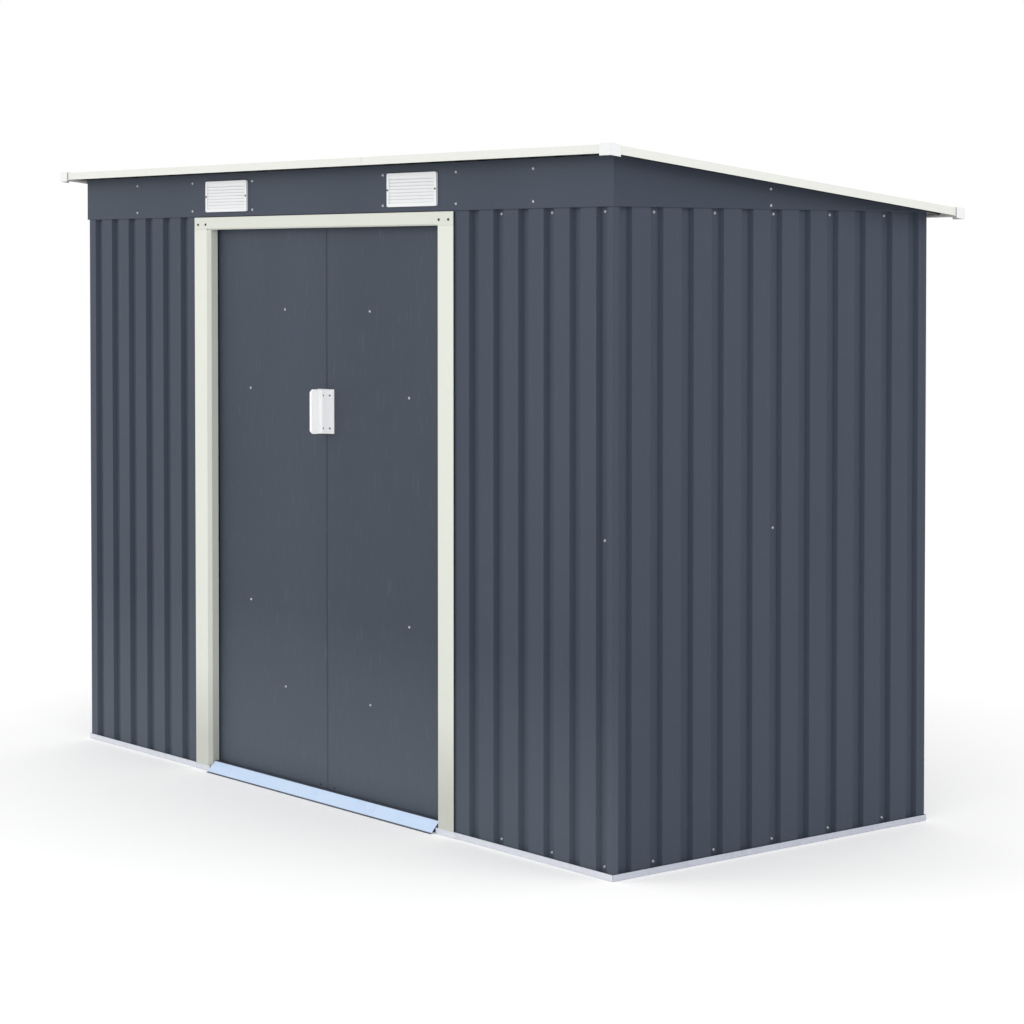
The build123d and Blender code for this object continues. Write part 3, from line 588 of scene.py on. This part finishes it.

# Handles: white plastic pulls at the meeting edges, each with a fin and a sunk scoop, held by four screws.
# The white is slightly cool. Painted light makes the fins' flanks brightest and painted shade the scoops
# darker, and a painted glow lights the whole handle, though it is no lamp.
handle_shaded_plastic = dict(plastic, Colour=(0.7, 0.705, 0.715, 1), Shade=(0.68, 0.685, 0.695, 1))
flank_from, flank_full = 0.5, 0.8
handle_finish = material_of("white_handle_plastic", paint, handle_shaded_plastic, **moulded_skin)
handle_tree = handle_finish.node_tree
handle_surface = handle_tree.nodes["Principled BSDF"]
scoop_painted_shade_white = handle_surface.inputs["Base Color"].links[0].from_socket
# Painted light: faces turned sideways get a whiter colour and a stronger glow than the scoops.
fin_painted_light_white, fin_painted_glow, scoop_painted_glow = (node(handle_tree, "ShaderNodeRGB", {}).outputs[0] for n in range(3))
fin_painted_light_white.default_value = (0.88, 0.885, 0.9, 1)
fin_painted_glow.default_value = (1, 1, 1, 1)
scoop_painted_glow.default_value = (0.3, 0.3, 0.3, 1)
facing = node(handle_tree, "ShaderNodeNewGeometry", {}).outputs["True Normal"]
across = node(handle_tree, "ShaderNodeSeparateXYZ", {0: facing}).outputs["X"]
across = node(handle_tree, "ShaderNodeMath", {0: across}, operation="ABSOLUTE").outputs[0]
flank = spread(handle_tree, across, flank_from, flank_full)
handle_lit_and_shaded_colour = blend_colours(handle_tree, flank, scoop_painted_shade_white, fin_painted_light_white)
handle_tree.links.new(handle_lit_and_shaded_colour, handle_surface.inputs["Base Color"])
handle_painted_glow = blend_colours(handle_tree, flank, scoop_painted_glow, fin_painted_glow)
handle_tree.links.new(handle_painted_glow, handle_surface.inputs["Emission Color"])
handle_surface.inputs["Emission Strength"].default_value = 0.28
handle_screws_z = (1.0142, 1.1035)
handle_screw_rows = (("inner", 0.0085, 0.0034), ("outer", 0.026, 0.0045))
handle_collar_share = 1.1
scoop_edge = 0.006
scoop_recess = 0.0015
scoop_fall = 15 / 29
for side, sign in (("left", -1), ("right", 1)):
    finish_nodes(handle_finish, f"door_handle_{side}")
    low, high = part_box(f"door_handle_{side}")
    outer = max(abs(low.x), abs(high.x))
    tilt = Vector((sign * scoop_fall, -1, 0)).normalized()
    for row, x, head in handle_screw_rows:
        y = door_face - scoop_edge - scoop_fall * (outer - x) + scoop_recess
        places = [((sign * x, y, z), tilt) for z in handle_screws_z]
        collar = head * handle_collar_share
        screws(f"handle_screws_{row}_{side}", f"{side}_door", places, head, collar, dark_finish)

# Stage: a plain white floor under a white sky, with broad soft lamps at the front left and the far right, and
# a weaker one low at the front right. To the camera the floor is as white as the sky, and keeps the shadow.
floor_white = 0.9
floor_half = 40
floor_level = -0.001
sky_light = 0.88
floor_mesh = bpy.data.meshes.new("floor")
corners = [(x * floor_half, y * floor_half, 0) for x, y in ((-1, -1), (1, -1), (1, 1), (-1, 1))]
floor_mesh.from_pydata(corners, [], [(0, 1, 2, 3)])
floor = bpy.data.objects.new("floor", floor_mesh)
floor.location.z = floor_level
bpy.context.scene.collection.objects.link(floor)
floor_material = bpy.data.materials.new("studio_floor")
floor_material.use_nodes = True
floor_surface = floor_material.node_tree.nodes["Principled BSDF"]
floor_surface.inputs["Base Color"].default_value = (floor_white, floor_white, floor_white, 1)
floor_surface.inputs["Roughness"].default_value = 1
floor_surface.inputs["Specular IOR Level"].default_value = 0
floor_tree = floor_material.node_tree


def shown_as_white(tree):
    """1 on rays from the camera and from glossy surfaces, 0 on all others."""
    seen = node(tree, "ShaderNodeLightPath", {}).outputs
    sockets = {0: seen["Is Camera Ray"], 1: seen["Is Glossy Ray"]}
    return node(tree, "ShaderNodeMath", sockets, operation="MAXIMUM").outputs[0]


floor_surface.inputs["Emission Color"].default_value = (1, 1, 1, 1)
lift = multiplied(floor_tree, shown_as_white(floor_tree), 1 - floor_white * sky_light)
floor_tree.links.new(lift, floor_surface.inputs["Emission Strength"])
floor_mesh.materials.append(floor_material)

world = bpy.data.worlds.new("studio")
bpy.context.scene.world = world
world.use_nodes = True
sky = world.node_tree
strength = spread(sky, shown_as_white(sky), 0, 1, sky_light, 1.0)
sky.nodes["Background"].inputs["Color"].default_value = (1, 1, 1, 1)
sky.links.new(strength, sky.nodes["Background"].inputs["Strength"])


def lamp(name, place, aim, size, power):
    light = bpy.data.lights.new(name, "AREA")
    light.shape = "RECTANGLE"
    light.size, light.size_y = size
    light.energy = power
    holder = bpy.data.objects.new(name, light)
    holder.location = place
    holder.rotation_euler = (Vector(aim) - Vector(place)).to_track_quat("-Z", "Y").to_euler()
    bpy.context.scene.collection.objects.link(holder)


lamp_aim = (0, 0, 0.8)
lamp("front_lamp", place=(-5.6, -7.2, 4.5), aim=lamp_aim, size=(5, 4), power=180)
lamp("right_lamp", place=(8.2, 3.2, 4.5), aim=lamp_aim, size=(5, 4), power=120)
lamp("fill_lamp", place=(6.4, -6.4, 2.5), aim=lamp_aim, size=(6, 4), power=90)

camera_tilt, camera_turn = 1.604, 50.913
camera_data = bpy.data.cameras.new("camera")
camera_data.lens = 92.543
camera_data.sensor_width = 36
camera_data.shift_y = -0.17
camera = bpy.data.objects.new("camera", camera_data)
camera.location = (5.8676, -4.6343, 1.4593)
camera.rotation_euler = (radians(90 - camera_tilt), 0, radians(camera_turn))
bpy.context.scene.collection.objects.link(camera)
bpy.context.scene.camera = camera
bpy.context.scene.view_settings.view_transform = "Standard"
